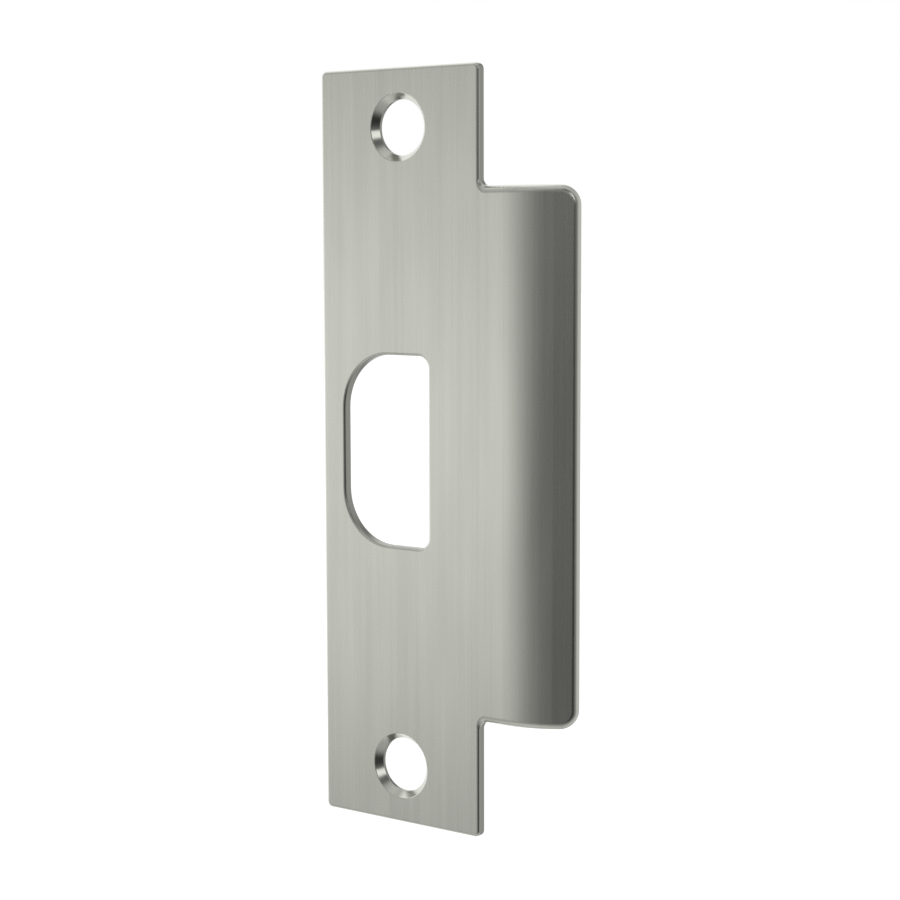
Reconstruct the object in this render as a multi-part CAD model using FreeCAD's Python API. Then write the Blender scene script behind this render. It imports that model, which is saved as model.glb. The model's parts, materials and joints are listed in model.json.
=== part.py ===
"""Door strike plate: one sheet, blanked to a T, bent at its lip, pierced and countersunk.

Sizes are in millimetres. The plate stands upright, as it is screwed to a door frame. +Z runs up
along the plate, its face looks along -Y, and the curved lip reaches out along +X. The origin is on
the back face, which beds on the frame, midway between the two screw holes.
"""
import FreeCAD, Part
import math
import os

Vec = FreeCAD.Vector

# Sheet and plate
THICKNESS = 1.7
PLATE_HEIGHT = 123.825
PLATE_WIDTH = 31.75
PLATE_CORNER_RADIUS = 1.0
PLATE_EDGE_ROUND = 0.5
BACK_EDGE_ROUND = 0.25

# Lip that the latch bolt rides in over. It leaves a tab of the plate free above and below it.
TAB_HEIGHT = 19.05
LIP_FLAT = 4.6
LIP_BEND_ANGLE = 32.0
LIP_BEND_INNER_RADIUS = 13.4
LIP_STRAIGHT = 4.25
LIP_CORNER_RADIUS = 3.175
LIP_EDGE_ROUND = 1.2
LIP_ROOT_RADIUS = 1.2

# Opening that the latch bolt drops into: bowed on the left, nearly square on the lip's side
OPENING_HEIGHT = 31.4
OPENING_WIDTH = 17.2
OPENING_SIDE_MARGIN = 4.53
OPENING_BOW_RADIUS = 9.0
OPENING_CORNER_RADIUS = 2.0
OPENING_EDGE_ROUND = 0.5

# Screw holes
SCREW_INSET = 9.525
SCREW_HOLE_DIAMETER = 9.0
COUNTERSINK_DIAMETER = 11.0
COUNTERSINK_ANGLE = 82.0
COUNTERSINK_EDGE_ROUND = 0.2

# Flat that stays between the front and the back round of an edge, however thin the sheet
EDGE_LAND = 0.25

# Places that follow from the sizes
FACE_Y = -THICKNESS
SIDE_X = PLATE_WIDTH / 2
TOP_Z = PLATE_HEIGHT / 2
LIP_TOP_Z = TOP_Z - TAB_HEIGHT
SCREW_Z = TOP_Z - SCREW_INSET
BEND_X = SIDE_X + LIP_FLAT
LARGEST_FRONT_ROUND = THICKNESS - BACK_EDGE_ROUND - EDGE_LAND
THROUGH = Vec(0, THICKNESS, 0)
CLOSE = 1e-4


def face_outline(corners):
    """A closed wire in the plane of the face. Each corner is (x, z, radius) and gets a tangent arc."""
    points = [Vec(x, FACE_Y, z) for x, z, _ in corners]
    starts = []
    middles = []
    ends = []
    for i, (_, _, radius) in enumerate(corners):
        corner = points[i]
        back = (points[i - 1] - corner).normalize()
        ahead = (points[(i + 1) % len(points)] - corner).normalize()
        half_angle = back.getAngle(ahead) / 2
        run = radius / math.tan(half_angle)
        to_middle = radius / math.sin(half_angle) - radius
        starts.append(corner + back * run)
        middles.append(corner + (back + ahead).normalize() * to_middle)
        ends.append(corner + ahead * run)
    edges = []
    for i, (_, _, radius) in enumerate(corners):
        edges.append(Part.LineSegment(ends[i - 1], starts[i]).toShape())
        if radius > 0:
            edges.append(Part.Arc(starts[i], middles[i], ends[i]).toShape())
    return Part.Wire(edges)


def flat_blank():
    """The flat plate with the root of the lip, as far as the bend."""
    outline = face_outline([
        (-SIDE_X, -TOP_Z, PLATE_CORNER_RADIUS),
        (SIDE_X, -TOP_Z, PLATE_CORNER_RADIUS),
        (SIDE_X, -LIP_TOP_Z, LIP_ROOT_RADIUS),
        (BEND_X, -LIP_TOP_Z, 0),
        (BEND_X, LIP_TOP_Z, 0),
        (SIDE_X, LIP_TOP_Z, LIP_ROOT_RADIUS),
        (SIDE_X, TOP_Z, PLATE_CORNER_RADIUS),
        (-SIDE_X, TOP_Z, PLATE_CORNER_RADIUS),
    ])
    return Part.Face(outline).extrude(THROUGH)


def bent_lip():
    """The bend and the straight run after it, with the two free corners rounded square to the sheet."""
    turn = math.radians(LIP_BEND_ANGLE)
    outer_radius = LIP_BEND_INNER_RADIUS + THICKNESS
    centre = Vec(BEND_X, FACE_Y + outer_radius, -LIP_TOP_Z)

    def on_bend(radius, part):
        angle = turn * part
        return centre + Vec(math.sin(angle), -math.cos(angle), 0) * radius

    face_start, face_middle, face_end = [on_bend(outer_radius, part) for part in (0, 0.5, 1)]
    back_start, back_middle, back_end = [on_bend(LIP_BEND_INNER_RADIUS, part) for part in (0, 0.5, 1)]
    straight = Vec(math.cos(turn), math.sin(turn), 0) * LIP_STRAIGHT
    face_tip = face_end + straight
    back_tip = back_end + straight
    section = Part.Wire([
        Part.Arc(face_start, face_middle, face_end).toShape(),
        Part.LineSegment(face_end, face_tip).toShape(),
        Part.LineSegment(face_tip, back_tip).toShape(),
        Part.LineSegment(back_tip, back_end).toShape(),
        Part.Arc(back_end, back_middle, back_start).toShape(),
        Part.LineSegment(back_start, face_start).toShape(),
    ])
    lip = Part.Face(section).extrude(Vec(0, 0, 2 * LIP_TOP_Z))
    tip = (face_tip + back_tip) / 2
    corners = []
    for edge in lip.Edges:
        middle = edge.CenterOfMass
        if math.hypot(middle.x - tip.x, middle.y - tip.y) < CLOSE:
            corners.append(edge)
    return lip.makeFillet(LIP_CORNER_RADIUS, corners)


def skin_rim(shape, facing):
    """Number and edge of each edge that bounds the front skin (facing -1) or the back skin (+1)."""
    least = math.cos(math.radians(LIP_BEND_ANGLE)) - CLOSE
    skin_edges = []
    for face in shape.Faces:
        first_u, last_u, first_v, last_v = face.ParameterRange
        normal = face.normalAt((first_u + last_u) / 2, (first_v + last_v) / 2)
        if normal.y * facing > least:
            skin_edges.extend(face.Edges)
    rim = []
    for number, edge in enumerate(shape.Edges, start=1):
        if sum(edge.isSame(other) for other in skin_edges) == 1:
            rim.append((number, edge))
    return rim


def rim_round(point):
    """Radius of the front rim's round at a point: it is larger on the lip than on the plate."""
    wanted = LIP_EDGE_ROUND if point.x > SIDE_X + CLOSE else PLATE_EDGE_ROUND
    return min(wanted, LARGEST_FRONT_ROUND)


def round_front_rim(blank):
    """Round the front rim. On each root arc the plate's round grows into the lip's."""
    rounds = []
    for number, edge in skin_rim(blank, facing=-1):
        start = edge.Vertexes[0].Point
        end = edge.Vertexes[-1].Point
        rounds.append((number, rim_round(start), rim_round(end)))
    document = FreeCAD.newDocument("strike_plate")
    sheet = document.addObject("Part::Feature", "sheet")
    sheet.Shape = blank
    rounded = document.addObject("Part::Fillet", "rounded_sheet")
    rounded.Base = sheet
    rounded.Edges = rounds
    document.recompute()
    return rounded.Shape.copy()


def latch_opening():
    """The space of the latch opening, right through the sheet."""
    left_x = -SIDE_X + OPENING_SIDE_MARGIN
    right_x = left_x + OPENING_WIDTH
    top_z = OPENING_HEIGHT / 2
    outline = face_outline([
        (left_x, -top_z, OPENING_BOW_RADIUS),
        (right_x, -top_z, OPENING_CORNER_RADIUS),
        (right_x, top_z, OPENING_CORNER_RADIUS),
        (left_x, top_z, OPENING_BOW_RADIUS),
    ])
    return Part.Face(outline).extrude(THROUGH)


def screw_hole(z):
    """The space of one screw hole: a round hole right through, and the countersink's cone."""
    centre = Vec(0, FACE_Y, z)
    rim = COUNTERSINK_DIAMETER / 2
    slope = math.tan(math.radians(COUNTERSINK_ANGLE / 2))
    cone = Part.makeCone(rim, rim - THICKNESS * slope, THICKNESS, centre, THROUGH)
    return cone.fuse(Part.makeCylinder(SCREW_HOLE_DIAMETER / 2, THICKNESS, centre, THROUGH))


def cut_and_round(shape, space, radius):
    """Cut a space out of the sheet and round the edge that it leaves in the face."""
    cut = shape.cut(space)
    limits = space.BoundBox
    limits.enlarge(CLOSE)
    left = []
    for edge in cut.Edges:
        box = edge.BoundBox
        in_face = abs(box.YMin - FACE_Y) < CLOSE and abs(box.YMax - FACE_Y) < CLOSE
        if in_face and limits.isInside(box):
            left.append(edge)
    return cut.makeFillet(radius, left)


def strike_plate():
    """The whole plate, in the order in which it is pressed."""
    blank = flat_blank().fuse(bent_lip()).removeSplitter()
    plate = round_front_rim(blank)
    plate = cut_and_round(plate, latch_opening(), min(OPENING_EDGE_ROUND, LARGEST_FRONT_ROUND))
    plate = plate.makeFillet(BACK_EDGE_ROUND, [edge for _, edge in skin_rim(plate, facing=1)])
    for z in (-SCREW_Z, SCREW_Z):
        plate = cut_and_round(plate, screw_hole(z), COUNTERSINK_EDGE_ROUND)
    return plate


os.makedirs("parts", exist_ok=True)
strike_plate().exportStep("parts/strike_plate.step")
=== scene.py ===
"""Looks of the door strike plate: satin steel brushed along the plate, seen against plain white.

Lengths are in metres in the part's own frame: +Z runs up along the plate, its face looks along -Y
and its lip reaches out along +X. Angles are in degrees. An azimuth is 0 in front of the face, at
-Y, and grows towards +X, the lip's side.
"""

import json
import math

import bpy
from mathutils import Matrix, Vector


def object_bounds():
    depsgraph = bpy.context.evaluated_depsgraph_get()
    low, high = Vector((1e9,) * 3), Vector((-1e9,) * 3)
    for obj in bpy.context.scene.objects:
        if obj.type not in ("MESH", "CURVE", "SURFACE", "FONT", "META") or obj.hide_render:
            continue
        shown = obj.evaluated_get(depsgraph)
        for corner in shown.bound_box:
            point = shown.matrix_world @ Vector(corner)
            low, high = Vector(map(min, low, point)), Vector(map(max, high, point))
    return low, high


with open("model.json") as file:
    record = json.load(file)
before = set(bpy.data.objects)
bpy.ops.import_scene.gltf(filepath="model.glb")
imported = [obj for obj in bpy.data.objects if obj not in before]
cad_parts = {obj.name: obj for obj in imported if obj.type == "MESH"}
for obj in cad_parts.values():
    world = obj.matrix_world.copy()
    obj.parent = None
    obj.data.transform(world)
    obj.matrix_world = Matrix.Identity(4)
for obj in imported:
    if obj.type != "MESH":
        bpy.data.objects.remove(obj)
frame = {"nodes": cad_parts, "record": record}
cad_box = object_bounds()

MM_PER_METRE = 1000

# Camera: the photograph's, fitted to the plate's outline in it
CAMERA_AZIMUTH = 36.106
CAMERA_ELEVATION = 6.007
CAMERA_ROLL = -0.138
CAMERA_DISTANCE = 0.325576
CAMERA_TARGET = Vector((0.010291, -0.0017, 0.000894))
CAMERA_LENS_MM = 81.306
CAMERA_SENSOR_MM = 36.0
CAMERA_NEAREST = 0.01

# Studio: a grey room with a dark part in front on the right, a wide soft light in front on the
# left, a backdrop on the left and behind that is as white as the camera sees it, a dimmer wall
# behind on the right, and a small lamp with a shade over it, which show in the countersinks.
# A place is (azimuth, elevation). The patch round it is taller than wide where its flatness is
# below 1, and wider than tall above 1.
DARK_PLACE = (50, -18)
DARK_FLATNESS = 0.7
# Pairs of (degrees from the middle of the dark part, level there)
AWAY_FROM_DARK = [
    (0, 0.02), (12, 0.043), (20, 0.175), (28, 0.183), (38, 0.188), (51, 0.30), (64, 0.38),
    (78, 0.405), (95, 0.41), (115, 0.36), (140, 0.28), (250, 0.28),
]
LIGHT_PLACE = (-48, -5.4)
LIGHT_FLATNESS = 3.6
# Pairs of (degrees from the middle of the light, level added there)
AROUND_LIGHT = [(0, 0.435), (18, 0.43), (27, 0.335), (38, 0.15), (48, 0.03), (58, 0.0), (300, 0.0)]
BACKDROP_PLACE = (-112, 12)
BACKDROP_FLATNESS = 0.8
# Pairs of (degrees from the middle of the backdrop, level added there)
AROUND_BACKDROP = [(0, 0.72), (42, 0.68), (52, 0.44), (60, 0.13), (67, 0.0), (80, 0.0), (300, 0.0)]
WALL_PLACE = (150, -5)
WALL_FLATNESS = 1.4
# Pairs of (degrees from the middle of the wall behind on the right, level added there)
AROUND_WALL = [(0, 0.26), (20, 0.26), (40, 0.20), (58, 0.08), (72, 0.0), (90, 0.0), (300, 0.0)]
LAMP_PLACE = (58, 20)
LAMP_FLATNESS = 0.7
# Pairs of (degrees from the middle of the lamp, level added there)
AROUND_LAMP = [(0, 3.2), (4, 2.6), (8, 0.3), (12, 0.0), (20, 0.0), (300, 0.0)]
SHADE_PLACE = (52, 47)
SHADE_FLATNESS = 1.0
# Pairs of (degrees from the middle of the shade, level taken away there)
AROUND_SHADE = [(0, 0.20), (9, 0.185), (17, 0.03), (23, 0.0), (40, 0.0), (300, 0.0)]
# Pairs of (elevation, level added there), for the ceiling and the ground
OVERHEAD = [
    (-90, 0.25), (-60, 0.25), (-42, 0.15), (-24, 0.0), (15, 0.0), (35, 0.08), (55, 0.12),
    (80, 0.25), (90, 0.25),
]
WHITE = (1.0, 1.0, 1.0, 1.0)

# Floor: a square at some distance below the plate. Only the camera sees the fill light on it.
FLOOR_BELOW = 0.045
FLOOR_SIZE = 8.0
FLOOR_COLOUR = (0.86, 0.86, 0.86, 1.0)
FLOOR_FILL = 0.60

# Steel. A tone is a share of its colour.
STEEL = (0.70, 0.708, 0.642)
STEEL_ROUGHNESS = 0.27
STEEL_ANISOTROPY = 0.6
EDGE_ROUGHNESS = 0.20

# How squarely a surface faces front or back, from 1 on the flat skins to 0 on the walls. A rounded
# edge turns into the brushed skin over the first range, and into the cut wall over the second.
# The cut walls carry painted shade: their colour is darkened to the given tone.
SKIN_FACING = (0.70, 0.83)
SHADED_WALL_FACING = (0.35, 0.12)
SHADED_WALL_TONE = 0.52
# The lip's edges are smooth, so no cut wall gets the painted shade beyond this place along X.
LIP_STARTS = 0.0165
# The rounded edge of the latch opening carries painted shade: its darkened tone, the middle of the
# opening along X, and how far along X and Z the edge can lie from the middle.
SHADED_OPENING_TONE = 0.66
OPENING_MIDDLE = -0.00275
SHADED_OPENING_REACH = (0.0105, 0.0175)
# How far the painted shade takes to fade in at its edges
PAINTED_SHADE_BLEND = 0.001

# The countersinks are smooth and not brushed, out to this radius.
CONE_ROUGHNESS = 0.16
CONE_RADIUS = 0.0056
CONE_BLEND = 0.0001

# Brushing: fine grain, wider bands and soft clouds. Each finer layer of their noise has the given
# share of the strength of the layer before it. Nearly all of the noise lies in its range.
GRAIN_WIDTH = 0.00022
GRAIN_LENGTH = 0.020
GRAIN_LAYERS = 4.0
GRAIN_DEPTH = 0.9e-6
GRAIN_TONE = 0.025
GRAIN_ROUGHNESS = 0.02
BAND_WIDTH = 0.0011
BAND_LENGTH = 0.075
BAND_LAYERS = 2.0
BAND_TONE = 0.03
CLOUD_WIDTH = 0.006
CLOUD_LENGTH = 0.024
CLOUD_LAYERS = 1.0
CLOUD_TONE = 0.03
FINER_SHARE = 0.6
NOISE_RANGE = (0.25, 0.75)


class Nodes:
    """A node tree, and short ways to add to it. A value is a socket, a number or a colour."""

    def __init__(self, owner):
        owner.use_nodes = True
        self.tree = owner.node_tree
        self.tree.nodes.clear()

    def add(self, kind, inputs=None, **settings):
        """A new node, with its inputs linked to sockets or set to values."""
        node = self.tree.nodes.new("ShaderNode" + kind)
        for name, value in settings.items():
            setattr(node, name, value)
        for key, value in (inputs or {}).items():
            if isinstance(value, bpy.types.NodeSocket):
                self.tree.links.new(value, node.inputs[key])
            else:
                node.inputs[key].default_value = value
        return node

    def math(self, operation, *values):
        return self.add("Math", dict(enumerate(values)), operation=operation).outputs[0]

    def vector(self, operation, *values):
        return self.add("VectorMath", dict(enumerate(values)), operation=operation)

    def between(self, share, low, high):
        """The number that lies between two others by a share from 0 to 1."""
        return self.add("Mix", {0: share, 2: low, 3: high}, data_type="FLOAT").outputs[0]

    def over_range(self, value, first, last, low=0.0, high=1.0):
        """How far a value has come from first to last, as a number from low to high."""
        inputs = {"Value": value, "From Min": first, "From Max": last, "To Min": low, "To Max": high}
        return self.add("MapRange", inputs, interpolation_type="SMOOTHSTEP").outputs[0]

    def curve(self, value, pairs):
        """A smooth curve through pairs of (place, level)."""
        first = pairs[0][0]
        reach = pairs[-1][0] - first
        share = self.math("DIVIDE", self.math("SUBTRACT", value, float(first)), float(reach))
        ramp = self.add("ValToRGB", {0: share})
        ramp.color_ramp.interpolation = "CARDINAL"
        elements = ramp.color_ramp.elements
        # A new element starts halfway and is then set to its own place.
        halfway = 0.5
        while len(elements) < len(pairs):
            elements.new(halfway)
        for element, (place, level) in zip(elements, pairs):
            element.position = (place - first) / reach
            element.color = (level, level, level, 1.0)
        return ramp.outputs[0]


def studio_surroundings():
    """What the steel shows and what lights it. The camera itself sees plain white."""
    world = bpy.data.worlds.new("studio")
    bpy.context.scene.world = world
    nodes = Nodes(world)
    x, y, z = nodes.add("SeparateXYZ", {0: nodes.add("TexCoord").outputs["Generated"]}).outputs
    azimuth = nodes.math("DEGREES", nodes.math("ARCTAN2", x, nodes.math("MULTIPLY", y, -1.0)))
    elevation = nodes.math("DEGREES", nodes.math("ARCSINE", z))

    def patch(place, flatness, levels):
        """A level that depends on how far a direction is from a place in the room."""
        beside = nodes.math("WRAP", nodes.math("SUBTRACT", azimuth, place[0]), 180.0, -180.0)
        above = nodes.math("MULTIPLY", nodes.math("SUBTRACT", elevation, place[1]), flatness)
        away = nodes.vector("LENGTH", nodes.add("CombineXYZ", {0: beside, 1: above}).outputs[0])
        return nodes.curve(away.outputs["Value"], levels)

    level = nodes.curve(elevation, OVERHEAD)
    for place, flatness, levels in [
        (DARK_PLACE, DARK_FLATNESS, AWAY_FROM_DARK),
        (LIGHT_PLACE, LIGHT_FLATNESS, AROUND_LIGHT),
        (BACKDROP_PLACE, BACKDROP_FLATNESS, AROUND_BACKDROP),
        (WALL_PLACE, WALL_FLATNESS, AROUND_WALL),
        (LAMP_PLACE, LAMP_FLATNESS, AROUND_LAMP),
    ]:
        level = nodes.math("ADD", level, patch(place, flatness, levels))
    level = nodes.math("SUBTRACT", level, patch(SHADE_PLACE, SHADE_FLATNESS, AROUND_SHADE))
    room = nodes.add("Background", {"Color": WHITE, "Strength": level})
    white = nodes.add("Background", {"Color": WHITE})
    seen = nodes.add("LightPath").outputs["Is Camera Ray"]
    both = nodes.add("MixShader", {0: seen, 1: room.outputs[0], 2: white.outputs[0]})
    nodes.add("OutputWorld", {0: both.outputs[0]})


def pale_floor():
    """A white floor a little below the plate. It keeps the plate's soft shadow."""
    material = bpy.data.materials.new("white_floor")
    nodes = Nodes(material)
    matt = nodes.add("BsdfDiffuse", {"Color": FLOOR_COLOUR})
    seen = nodes.add("LightPath").outputs["Is Camera Ray"]
    fill = nodes.add("Emission", {"Strength": nodes.math("MULTIPLY", seen, FLOOR_FILL)})
    both = nodes.add("AddShader", {0: matt.outputs[0], 1: fill.outputs[0]})
    nodes.add("OutputMaterial", {"Surface": both.outputs[0]})
    bpy.ops.mesh.primitive_plane_add(size=FLOOR_SIZE, location=(0, 0, cad_box[0].z - FLOOR_BELOW))
    floor = bpy.context.object
    floor.name = "floor"
    floor.data.materials.append(material)
    floor.visible_glossy = False


def satin_steel(screw_spacing):
    """Steel brushed along Z on both skins, smooth at its edges, with painted shade on its cut walls.

    Each part is a share from 0 to 1: the skin, the cut walls and the rounded edge of the latch
    opening, both darkened as painted shade, and the cone.
    """
    material = bpy.data.materials.new("satin_steel_brushed")
    nodes = Nodes(material)
    place = nodes.add("TexCoord").outputs["Object"]
    x, _, z = nodes.add("SeparateXYZ", {0: place}).outputs
    facing = nodes.add("SeparateXYZ", {0: nodes.add("NewGeometry").outputs["Normal"]}).outputs["Y"]

    def streaks(width, length, layers):
        size = Vector((1 / width, 1 / width, 1 / length))
        stretched = nodes.vector("MULTIPLY", place, size).outputs["Vector"]
        inputs = {"Vector": stretched, "Scale": 1.0, "Detail": layers, "Roughness": FINER_SHARE}
        return nodes.add("TexNoise", inputs, noise_dimensions="3D").outputs[0]

    def swing(noise, most):
        """A noise as a number from -most to most."""
        return nodes.over_range(noise, *NOISE_RANGE, -most, most)

    squarely = nodes.math("ABSOLUTE", facing)
    up_or_down = nodes.math("ABSOLUTE", z)
    # Painted shade on the cut walls, but not on the lip: their colour is darkened there.
    before_lip = nodes.over_range(x, LIP_STARTS + PAINTED_SHADE_BLEND, LIP_STARTS)
    shaded_wall = nodes.math("MULTIPLY", nodes.over_range(squarely, *SHADED_WALL_FACING), before_lip)
    # Painted shade on the rounded edge of the latch opening: its colour is darkened there.
    beside = nodes.math("ABSOLUTE", nodes.math("SUBTRACT", x, OPENING_MIDDLE))
    shaded_opening_edge = nodes.math("MULTIPLY", *[
        nodes.over_range(distance, reach, reach - PAINTED_SHADE_BLEND)
        for distance, reach in zip((beside, up_or_down), SHADED_OPENING_REACH)
    ])
    from_screw = nodes.math("SUBTRACT", up_or_down, screw_spacing / 2)
    from_hole = nodes.add("CombineXYZ", {0: x, 1: from_screw}).outputs[0]
    radius = nodes.vector("LENGTH", from_hole).outputs["Value"]
    near_hole = nodes.over_range(radius, CONE_RADIUS, CONE_RADIUS - CONE_BLEND)
    # The back is brushed right up to the holes.
    off_back = nodes.over_range(facing, *reversed(SKIN_FACING))
    cone = nodes.math("MULTIPLY", near_hole, off_back)
    outside_cone = nodes.math("SUBTRACT", 1.0, cone)
    skin = nodes.math("MULTIPLY", nodes.over_range(squarely, *SKIN_FACING), outside_cone)

    grain = streaks(GRAIN_WIDTH, GRAIN_LENGTH, GRAIN_LAYERS)
    bands = streaks(BAND_WIDTH, BAND_LENGTH, BAND_LAYERS)
    clouds = streaks(CLOUD_WIDTH, CLOUD_LENGTH, CLOUD_LAYERS)
    skin_tone = nodes.math("ADD", swing(grain, GRAIN_TONE), 1.0)
    skin_tone = nodes.math("ADD", swing(clouds, CLOUD_TONE), skin_tone)
    skin_tone = nodes.math("ADD", swing(bands, BAND_TONE), skin_tone)
    # Painted shade: off the skin, the tone is darkened on the cut walls and on the opening's rounded
    # edge.
    edge_tone_with_painted_shade = nodes.between(shaded_wall, nodes.between(shaded_opening_edge, 1.0, SHADED_OPENING_TONE), SHADED_WALL_TONE)
    tone = nodes.between(skin, edge_tone_with_painted_shade, skin_tone)
    colour = nodes.vector("SCALE", STEEL)
    nodes.tree.links.new(tone, colour.inputs["Scale"])

    brushed = nodes.math("ADD", STEEL_ROUGHNESS, swing(grain, GRAIN_ROUGHNESS))
    smooth = nodes.between(cone, EDGE_ROUGHNESS, CONE_ROUGHNESS)
    roughness = nodes.between(skin, smooth, brushed)
    depth = nodes.math("MULTIPLY", grain, skin)
    bump = nodes.add("Bump", {"Strength": 1.0, "Distance": GRAIN_DEPTH, "Height": depth})
    across = nodes.add("Tangent", direction_type="RADIAL", axis="Z")
    steel = nodes.add("BsdfPrincipled", {
        "Base Color": colour.outputs["Vector"],
        "Metallic": 1.0,
        "Roughness": roughness,
        "Anisotropic": STEEL_ANISOTROPY,
        "Tangent": across.outputs[0],
        "Normal": bump.outputs[0],
    })
    nodes.add("OutputMaterial", {"Surface": steel.outputs[0]})
    return material


def photograph_camera():
    """The camera, where the photograph was taken from."""
    azimuth = math.radians(CAMERA_AZIMUTH)
    elevation = math.radians(CAMERA_ELEVATION)
    level = math.cos(elevation)
    back = Vector((math.sin(azimuth) * level, -math.cos(azimuth) * level, math.sin(elevation)))
    right = Vector((0, 0, 1)).cross(back).normalized()
    up = back.cross(right)
    roll = math.radians(CAMERA_ROLL)
    image_right = right * math.cos(roll) + up * math.sin(roll)
    image_up = up * math.cos(roll) - right * math.sin(roll)
    data = bpy.data.cameras.new("camera")
    data.lens = CAMERA_LENS_MM
    data.sensor_width = CAMERA_SENSOR_MM
    data.clip_start = CAMERA_NEAREST
    camera = bpy.data.objects.new("camera", data)
    bpy.context.scene.collection.objects.link(camera)
    turn = Matrix((image_right, image_up, back)).transposed().to_4x4()
    camera.matrix_world = Matrix.Translation(CAMERA_TARGET + back * CAMERA_DISTANCE) @ turn
    bpy.context.scene.camera = camera


bpy.context.scene.view_settings.view_transform = "Standard"
studio_surroundings()
pale_floor()
photograph_camera()
screws = next(mount for mount in frame["record"]["mounts"] if mount["name"] == "screw_holes")
steel = satin_steel(screws["dims"]["spacing_y_mm"] / MM_PER_METRE)
for slot in frame["nodes"]["strike_plate"].material_slots:
    slot.material = steel
